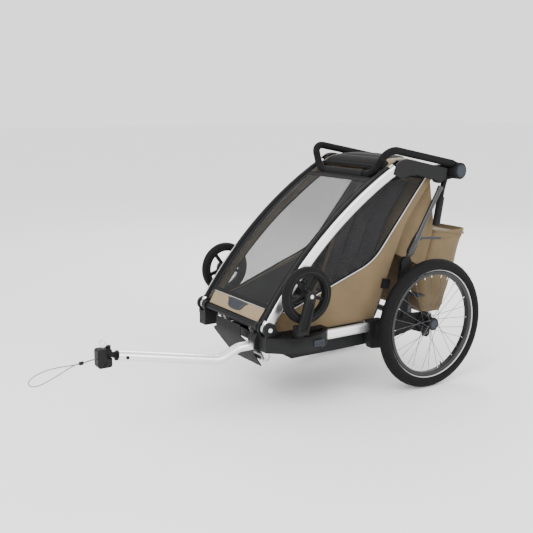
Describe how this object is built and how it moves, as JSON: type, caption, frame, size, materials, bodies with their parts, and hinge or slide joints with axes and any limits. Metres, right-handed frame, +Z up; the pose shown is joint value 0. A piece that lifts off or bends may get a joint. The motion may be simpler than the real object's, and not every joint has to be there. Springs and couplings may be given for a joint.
{
  "type": "child bicycle trailer",
  "caption": "Single-seat child trailer with folding tube frame, fabric cabin with mesh front, large spoked wheels, stowed castors and a side tow arm with hitch.",
  "frame": {"origin": "on the floor under the middle of the trailer's length and width, tow arm included and safety leash left out", "axes": "+Y points to the rear, away from the bicycle; +X to the trailer's left; +Z up"},
  "size_m": [0.656, 1.8796, 0.9562],
  "materials": {
    "silver_tube": "satin anodised tube",
    "black_plastic": "fine moulded texture",
    "grey_plastic": "fine moulded texture",
    "dark_fabric": "woven polyester",
    "khaki_fabric": "coated woven polyester",
    "seat_fabric": "padded woven fabric",
    "mesh": "open insect mesh",
    "window_film": "tinted flexible film",
    "webbing": "webbing",
    "tyre": "dull rubber",
    "rim": "satin black",
    "spoke": "dark steel wire",
    "foam": "closed-cell foam",
    "bar_paint": "satin anthracite",
    "strut_paint": "satin black",
    "pin_steel": "polished",
    "cable": "clear-coated cable"
  },
  "bodies": {
    "chassis": {"side_rails": "silver_tube", "front_corner_left": "black_plastic", "front_corner_right": "black_plastic", "rear_corners": "black_plastic", "axle_beam": "strut_paint", "brake_units": "black_plastic", "floor_pan": "black_plastic", "bumper_bar": "black_plastic", "footwell_hoop": "silver_tube", "footwell_panel": "dark_fabric", "tow_receiver": "black_plastic", "seat_base": "seat_fabric", "seat_back": "seat_fabric", "harness": "webbing", "back_flap": "khaki_fabric", "body_fabric": "khaki_fabric", "side_windows": "window_film", "side_buckles": "black_plastic", "front_trim": "khaki_fabric", "cargo_bag": "khaki_fabric"},
    "upper_frame": {"diagonal_tubes": "silver_tube", "top_pods": "black_plastic", "cross_tubes": "strut_paint", "grab_handles": "black_plastic", "front_cover": "dark_fabric", "front_mesh": "mesh", "roof_panel": "dark_fabric"},
    "rear_struts": {"rear_struts": "strut_paint"},
    "strut_latch_left": {"strut_latch_left": "grey_plastic"},
    "strut_latch_right": {"strut_latch_right": "grey_plastic"},
    "handlebar": {"handlebar_tube": "bar_paint", "handlebar_grip": "foam"},
    "handle_button_left": {"handle_button_left": "grey_plastic"},
    "handle_button_right": {"handle_button_right": "grey_plastic"},
    "wheel_left": {"wheel_left_tyre": "tyre", "wheel_left_rim": "rim", "wheel_left_spokes": "spoke", "wheel_left_hub": "black_plastic"},
    "wheel_right": {"wheel_right_tyre": "tyre", "wheel_right_rim": "rim", "wheel_right_spokes": "spoke", "wheel_right_hub": "black_plastic"},
    "wheel_left_button": {"wheel_left_button": "grey_plastic"},
    "wheel_right_button": {"wheel_right_button": "grey_plastic"},
    "castor_left_plug": {"castor_left_stem": "black_plastic"},
    "castor_right_plug": {"castor_right_stem": "black_plastic"},
    "castor_left_fork": {"castor_left_fork": "black_plastic"},
    "castor_right_fork": {"castor_right_fork": "black_plastic"},
    "castor_left_wheel": {"castor_left_wheel": "tyre"},
    "castor_right_wheel": {"castor_right_wheel": "tyre"},
    "castor_button_left": {"castor_button_left": "grey_plastic"},
    "castor_button_right": {"castor_button_right": "grey_plastic"},
    "receiver_pin": {"receiver_pin": "pin_steel"},
    "brake_pedal": {"brake_pedal": "grey_plastic"},
    "tow_arm": {"tow_arm_tube": "silver_tube", "hitch_neck": "black_plastic"},
    "hitch": {"hitch_body": "black_plastic", "leash_cord": "cable", "leash_toggle": "black_plastic"},
    "hitch_pin": {"hitch_pin": "pin_steel"}
  },
  "joints": [
    {"name": "wheel_left_spin", "type": "hinge", "parent": "chassis", "child": "wheel_left", "pos_m": [0.304, 0.518, 0.26], "axis": [1, 0, 0], "continuous": true},
    {"name": "wheel_left_button_press", "type": "slide", "parent": "wheel_left", "child": "wheel_left_button", "axis": [-1, 0, 0], "range_m": [0, 0.003], "stiffness_N_per_m": 600},
    {"name": "strut_latch_left_press", "type": "hinge", "parent": "rear_struts", "child": "strut_latch_left", "pos_m": [0.2535, 0.49549, 0.59693], "axis": [1, 0, 0], "range_deg": [0, 8], "stiffness_Nm_per_rad": 0.6},
    {"name": "handle_button_left_press", "type": "slide", "parent": "handlebar", "child": "handle_button_left", "axis": [-1, 0, 0], "range_m": [0, 0.003], "stiffness_N_per_m": 600},
    {"name": "castor_left_pull", "type": "slide", "parent": "chassis", "child": "castor_left_plug", "axis": [0, 0, 1], "range_m": [0, 0.09]},
    {"name": "castor_left_swivel", "type": "hinge", "parent": "castor_left_plug", "child": "castor_left_fork", "pos_m": [0.2925, -0.114, 0.33], "axis": [0, 0, 1], "range_deg": [-15, 15]},
    {"name": "castor_left_spin", "type": "hinge", "parent": "castor_left_fork", "child": "castor_left_wheel", "pos_m": [0.2925, -0.079, 0.4494], "axis": [1, 0, 0], "continuous": true},
    {"name": "castor_button_left_press", "type": "slide", "parent": "chassis", "child": "castor_button_left", "axis": [-1, 0, 0], "range_m": [0, 0.002], "stiffness_N_per_m": 800},
    {"name": "wheel_right_spin", "type": "hinge", "parent": "chassis", "child": "wheel_right", "pos_m": [-0.304, 0.518, 0.26], "axis": [1, 0, 0], "continuous": true},
    {"name": "wheel_right_button_press", "type": "slide", "parent": "wheel_right", "child": "wheel_right_button", "axis": [1, 0, 0], "range_m": [0, 0.003], "stiffness_N_per_m": 600},
    {"name": "strut_latch_right_press", "type": "hinge", "parent": "rear_struts", "child": "strut_latch_right", "pos_m": [-0.2535, 0.49549, 0.59693], "axis": [1, 0, 0], "range_deg": [0, 8], "stiffness_Nm_per_rad": 0.6},
    {"name": "handle_button_right_press", "type": "slide", "parent": "handlebar", "child": "handle_button_right", "axis": [1, 0, 0], "range_m": [0, 0.003], "stiffness_N_per_m": 600},
    {"name": "castor_right_pull", "type": "slide", "parent": "chassis", "child": "castor_right_plug", "axis": [0, 0, 1], "range_m": [0, 0.09]},
    {"name": "castor_right_swivel", "type": "hinge", "parent": "castor_right_plug", "child": "castor_right_fork", "pos_m": [-0.2925, -0.114, 0.33], "axis": [0, 0, 1], "range_deg": [-15, 15]},
    {"name": "castor_right_spin", "type": "hinge", "parent": "castor_right_fork", "child": "castor_right_wheel", "pos_m": [-0.2925, -0.079, 0.4494], "axis": [1, 0, 0], "continuous": true},
    {"name": "castor_button_right_press", "type": "slide", "parent": "chassis", "child": "castor_button_right", "axis": [1, 0, 0], "range_m": [0, 0.002], "stiffness_N_per_m": 800},
    {"name": "frame_fold", "type": "hinge", "parent": "chassis", "child": "upper_frame", "pos_m": [0, -0.20723, 0.32846], "axis": [-1, 0, 0], "range_deg": [0, 28.7], "deforming": ["body_fabric", "back_flap", "side_windows", "seat_back", "harness", "cargo_bag"]},
    {"name": "strut_fold", "type": "hinge", "parent": "chassis", "child": "rear_struts", "pos_m": [0, 0.419, 0.506], "axis": [-1, 0, 0], "range_deg": [0, 86.1]},
    {"name": "handlebar_flip", "type": "hinge", "parent": "upper_frame", "child": "handlebar", "pos_m": [0, 0.693, 0.852], "axis": [-1, 0, 0], "range_deg": [0, 140]},
    {"name": "tow_arm_pull", "type": "slide", "parent": "chassis", "child": "tow_arm", "axis": [0, -1, 0], "range_m": [0, 0.08]},
    {"name": "receiver_pin_press", "type": "slide", "parent": "chassis", "child": "receiver_pin", "axis": [-1, 0, 0], "range_m": [0, 0.003], "stiffness_N_per_m": 800},
    {"name": "hitch_swivel", "type": "hinge", "parent": "tow_arm", "child": "hitch", "pos_m": [0.176, -0.785, 0.315], "axis": [0, 0, 1], "range_deg": [-20, 20]},
    {"name": "hitch_pin_lift", "type": "slide", "parent": "hitch", "child": "hitch_pin", "axis": [0, 0, 1], "range_m": [0, 0.03]},
    {"name": "brake_pedal_press", "type": "hinge", "parent": "chassis", "child": "brake_pedal", "pos_m": [0.155, 0.523, 0.295], "axis": [-1, 0, 0], "range_deg": [0, 18]}
  ],
  "couplings": [
    {"joint": "strut_fold", "follows": "frame_fold", "ratio": 3}
  ]
}
